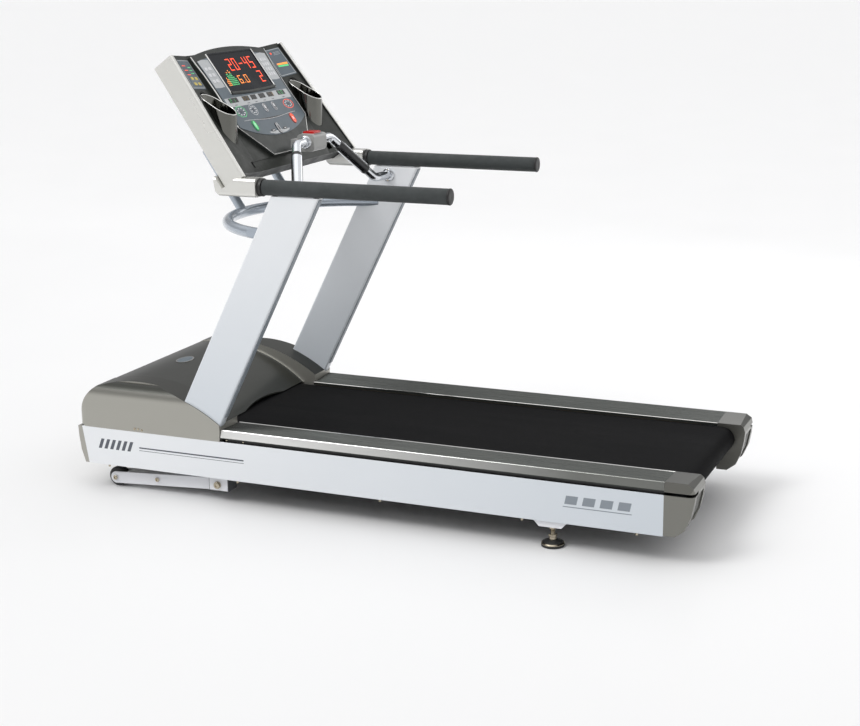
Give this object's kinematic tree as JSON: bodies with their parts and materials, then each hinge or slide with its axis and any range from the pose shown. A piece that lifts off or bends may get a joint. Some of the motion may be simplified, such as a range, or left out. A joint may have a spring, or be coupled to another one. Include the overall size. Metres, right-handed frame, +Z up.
{
  "type": "motorised treadmill",
  "caption": "Motorised flat-deck treadmill with sloping console, foam handrails, motor hood and a front incline lift.",
  "frame": {"origin": "centre of the overall bounding box, on the floor", "axes": "+X towards the rear end where the user steps on, +Z up, -Y is the user's left"},
  "size_m": [2.244, 0.892, 1.5428],
  "materials": {
    "frame_steel": "satin",
    "panel_silver": "satin",
    "rail_anodised": "ribbed satin",
    "cap_pewter": "metallic satin",
    "insert_dark": "satin",
    "hood_dark": "metallic satin",
    "hood_pewter": "metallic satin",
    "trim_chrome": "polished",
    "fascia_pewter": "metallic satin",
    "deck_wood": "waxed board",
    "cushion_rubber": "matt",
    "belt_rubber": "fine textured",
    "motor_paint": "satin",
    "shaft_steel": "turned",
    "heatsink_metal": "extruded",
    "inlet_plastic": "satin",
    "switch_red": "gloss",
    "breaker_white": "gloss",
    "drive_rubber": "matt",
    "roller_steel": "turned",
    "upright_silver": "satin",
    "upright_strip": "satin",
    "tube_steel": "satin",
    "grip_foam": "matt foam",
    "end_plastic": "satin",
    "console_pearl": "pearl satin",
    "console_dark": "fine grained",
    "back_dark": "grained",
    "pod_dark": "satin",
    "overlay_blue": "printed film",
    "display_gloss": "gloss",
    "cup_chrome": "dark chrome",
    "board_green": "solder mask",
    "bar_silver": "satin",
    "grip_black": "satin",
    "housing_grey": "satin",
    "stop_red": "gloss",
    "brace_silver": "satin",
    "bracket_white": "satin",
    "foot_rubber": "matt",
    "screw_steel": "zinc plated",
    "lift_white": "satin",
    "wheel_rubber": "matt",
    "key_green": "gloss",
    "key_red": "gloss",
    "key_white": "gloss",
    "key_black": "gloss"
  },
  "bodies": {
    "frame": {"base_frame": "frame_steel", "left_side_panel": "panel_silver", "right_side_panel": "panel_silver", "left_foot_rail": "rail_anodised", "right_foot_rail": "rail_anodised", "left_rear_cap": "cap_pewter", "right_rear_cap": "cap_pewter", "cap_inserts": "insert_dark", "motor_hood": "hood_dark", "left_hood_cover": "hood_pewter", "right_hood_cover": "hood_pewter", "hood_trims": "trim_chrome", "belly_pan": "fascia_pewter", "deck_board": "deck_wood", "deck_cushions": "cushion_rubber", "running_belt": "belt_rubber", "drive_motor": "motor_paint", "motor_controller": "heatsink_metal", "power_inlet": "inlet_plastic", "drive_belt": "drive_rubber", "roller_shafts": "shaft_steel", "left_upright": "upright_silver", "right_upright": "upright_silver", "upright_trims": "upright_strip", "handrail_tubes": "tube_steel", "foam_grips": "grip_foam", "handrail_trim": "end_plastic", "console_sides": "console_pearl", "console_slab": "console_dark", "console_back": "back_dark", "console_pod": "pod_dark", "console_overlay": "overlay_blue", "display_window": "display_gloss", "cup_holders": "cup_chrome", "wing_panels": "overlay_blue", "control_board": "board_green", "pulse_bar": "bar_silver", "pulse_grips": "grip_black", "stop_housing": "housing_grey", "brace_frame": "brace_silver", "foot_brackets": "bracket_white", "screws": "screw_steel"},
    "lift": {"lift_frame": "lift_white"},
    "wheel_left": {"left_wheel": "wheel_rubber"},
    "wheel_right": {"right_wheel": "wheel_rubber"},
    "actuator": {"lift_motor": "motor_paint"},
    "actuator_tube": {"lift_tube": "shaft_steel"},
    "roller_front": {"front_roller": "roller_steel"},
    "roller_rear": {"rear_roller": "roller_steel"},
    "motor_rotor": {"motor_shaft": "shaft_steel"},
    "foot_left": {"left_foot": "foot_rubber"},
    "foot_right": {"right_foot": "foot_rubber"},
    "switch": {"power_switch": "switch_red"},
    "breaker": {"breaker_button": "breaker_white"},
    "stop": {"stop_button": "stop_red"},
    "key_start": {"start_key": "key_green"},
    "key_stop": {"stop_key": "key_red"},
    "key_quick_a": {"quick_key_a": "key_white"},
    "key_quick_b": {"quick_key_b": "key_white"},
    "key_nav": {"nav_key": "key_black"}
  },
  "joints": [
    {"name": "incline_lift", "type": "hinge", "parent": "frame", "child": "lift", "pos_m": [-0.573, 0, 0.06], "axis": [0, -1, 0], "range_deg": [0, 32]},
    {"name": "left_wheel_spin", "type": "hinge", "parent": "lift", "child": "wheel_left", "pos_m": [-0.999, -0.367, 0.035], "axis": [0, 1, 0], "continuous": true},
    {"name": "right_wheel_spin", "type": "hinge", "parent": "lift", "child": "wheel_right", "pos_m": [-0.999, 0.367, 0.035], "axis": [0, 1, 0], "continuous": true},
    {"name": "lift_motor_tilt", "type": "hinge", "parent": "frame", "child": "actuator", "pos_m": [-0.985, -0.16, 0.1189], "axis": [0, -1, 0], "range_deg": [-0.5, 1.5]},
    {"name": "lift_tube_slide", "type": "slide", "parent": "actuator", "child": "actuator_tube", "axis": [-1, 0, 0], "range_m": [0, 0.0375]},
    {"name": "front_roller_spin", "type": "hinge", "parent": "frame", "child": "roller_front", "pos_m": [-0.69, 0, 0.2095], "axis": [0, 1, 0], "continuous": true},
    {"name": "rear_roller_spin", "type": "hinge", "parent": "frame", "child": "roller_rear", "pos_m": [1.045, 0, 0.2095], "axis": [0, 1, 0], "continuous": true},
    {"name": "motor_spin", "type": "hinge", "parent": "frame", "child": "motor_rotor", "pos_m": [-0.89, 0, 0.236], "axis": [0, 1, 0], "continuous": true},
    {"name": "left_foot_adjust", "type": "slide", "parent": "frame", "child": "foot_left", "axis": [0, 0, -1], "range_m": [0, 0.02]},
    {"name": "right_foot_adjust", "type": "slide", "parent": "frame", "child": "foot_right", "axis": [0, 0, -1], "range_m": [0, 0.02]},
    {"name": "power_switch_rock", "type": "hinge", "parent": "frame", "child": "switch", "pos_m": [-1.1, -0.1325, 0.145], "axis": [0, 1, 0], "range_deg": [-8, 8]},
    {"name": "breaker_press", "type": "slide", "parent": "frame", "child": "breaker", "axis": [1, 0, 0], "range_m": [0, 0.003], "stiffness_N_per_m": 500, "springref_m": -0.002},
    {"name": "stop_button_press", "type": "slide", "parent": "frame", "child": "stop", "axis": [0, 0, -1], "range_m": [0, 0.004], "stiffness_N_per_m": 800, "springref_m": -0.003},
    {"name": "start_key_press", "type": "slide", "parent": "frame", "child": "key_start", "axis": [-0.809, 0, -0.5878], "range_m": [0, 0.0015], "stiffness_N_per_m": 300, "springref_m": -0.002},
    {"name": "stop_key_press", "type": "slide", "parent": "frame", "child": "key_stop", "axis": [-0.809, 0, -0.5878], "range_m": [0, 0.0015], "stiffness_N_per_m": 300, "springref_m": -0.002},
    {"name": "quick_a_key_press", "type": "slide", "parent": "frame", "child": "key_quick_a", "axis": [-0.809, 0, -0.5878], "range_m": [0, 0.0015], "stiffness_N_per_m": 300, "springref_m": -0.002},
    {"name": "quick_b_key_press", "type": "slide", "parent": "frame", "child": "key_quick_b", "axis": [-0.809, 0, -0.5878], "range_m": [0, 0.0015], "stiffness_N_per_m": 300, "springref_m": -0.002},
    {"name": "nav_key_press", "type": "slide", "parent": "frame", "child": "key_nav", "axis": [-0.809, 0, -0.5878], "range_m": [0, 0.0015], "stiffness_N_per_m": 300, "springref_m": -0.002}
  ],
  "couplings": [
    {"joint": "lift_motor_tilt", "follows": "incline_lift", "ratio": 0.0396},
    {"joint": "lift_tube_slide", "follows": "incline_lift", "m_per_rad": 0.065},
    {"joint": "rear_roller_spin", "follows": "front_roller_spin", "ratio": 1},
    {"joint": "motor_spin", "follows": "front_roller_spin", "ratio": 1.7308}
  ]
}
